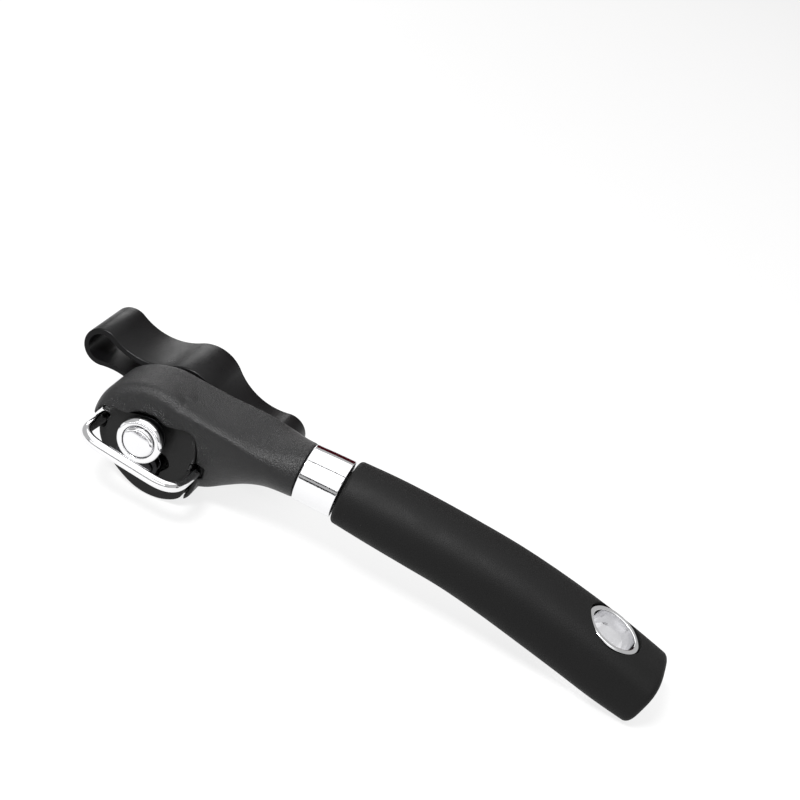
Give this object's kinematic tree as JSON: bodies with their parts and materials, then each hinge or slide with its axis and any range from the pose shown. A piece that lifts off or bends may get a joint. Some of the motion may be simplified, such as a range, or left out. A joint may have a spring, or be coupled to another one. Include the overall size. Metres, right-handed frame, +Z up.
{
  "type": "manual can opener",
  "caption": "Side-cut manual can opener: toothed drive wheel under a hood, swinging cutter, wire bail, looped crank and long soft grip with a hanging eyelet.",
  "frame": {"origin": "bottom centre of the bounding box; the opener lies level, resting on its head and the underside of its tail", "axes": "+X from the head to the tail of the handle, -Y is the wheel side that faces the can, +Y is the crank side, +Z up"},
  "size_m": [0.205, 0.063, 0.0371],
  "materials": {
    "body_plastic": "fine spark texture, black",
    "block_plastic": "smooth satin, black",
    "crank_plastic": "smooth satin, black",
    "grip_rubber": "soft-touch matt, black",
    "chrome_plate": "bright polished plate",
    "plain_steel": "machined, bare",
    "dark_steel": "blackened, oiled",
    "bush_brass": "turned, bare"
  },
  "bodies": {
    "opener_body": {"head_housing": "body_plastic", "back_cover": "body_plastic", "carrier_block": "block_plastic", "front_bush": "dark_steel", "rear_bush": "bush_brass", "thrust_washer": "plain_steel", "jaw_pin": "dark_steel", "jaw_spring": "plain_steel", "ferrule": "chrome_plate", "handle_tang": "body_plastic", "grip_sleeve": "grip_rubber", "hang_eyelet": "chrome_plate", "housing_screw_1": "plain_steel", "housing_screw_2": "plain_steel", "housing_screw_3": "plain_steel"},
    "drive": {"crank_loop": "crank_plastic", "crank_cap": "crank_plastic", "crank_washer": "plain_steel", "crank_screw": "plain_steel", "drive_shaft": "plain_steel", "shaft_clip": "dark_steel", "feed_wheel": "plain_steel", "flange_disc": "chrome_plate", "front_rivet": "chrome_plate"},
    "jaw": {"cutter_jaw": "dark_steel", "cutter_pin": "dark_steel", "cutter_washer": "dark_steel"},
    "cutter": {"cutter_wheel": "dark_steel"},
    "bail": {"wire_bail": "chrome_plate"}
  },
  "joints": [
    {"name": "crank_spin", "type": "hinge", "parent": "opener_body", "child": "drive", "pos_m": [-0.06581, 0, 0.02037], "axis": [0, 1, 0], "continuous": true},
    {"name": "jaw_swing", "type": "hinge", "parent": "opener_body", "child": "jaw", "pos_m": [-0.07122, -0.0111, 0.01148], "axis": [0, 1, 0], "range_deg": [0, 13], "stiffness_Nm_per_rad": 0.02, "springref_deg": -17.19},
    {"name": "cutter_spin", "type": "hinge", "parent": "jaw", "child": "cutter", "pos_m": [-0.06256, -0.0158, 0.01086], "axis": [0, 1, 0], "continuous": true},
    {"name": "bail_swing", "type": "hinge", "parent": "opener_body", "child": "bail", "pos_m": [-0.06474, -0.0113, 0.01643], "axis": [0.9897, 0, -0.1431], "range_deg": [-8, 8]}
  ]
}
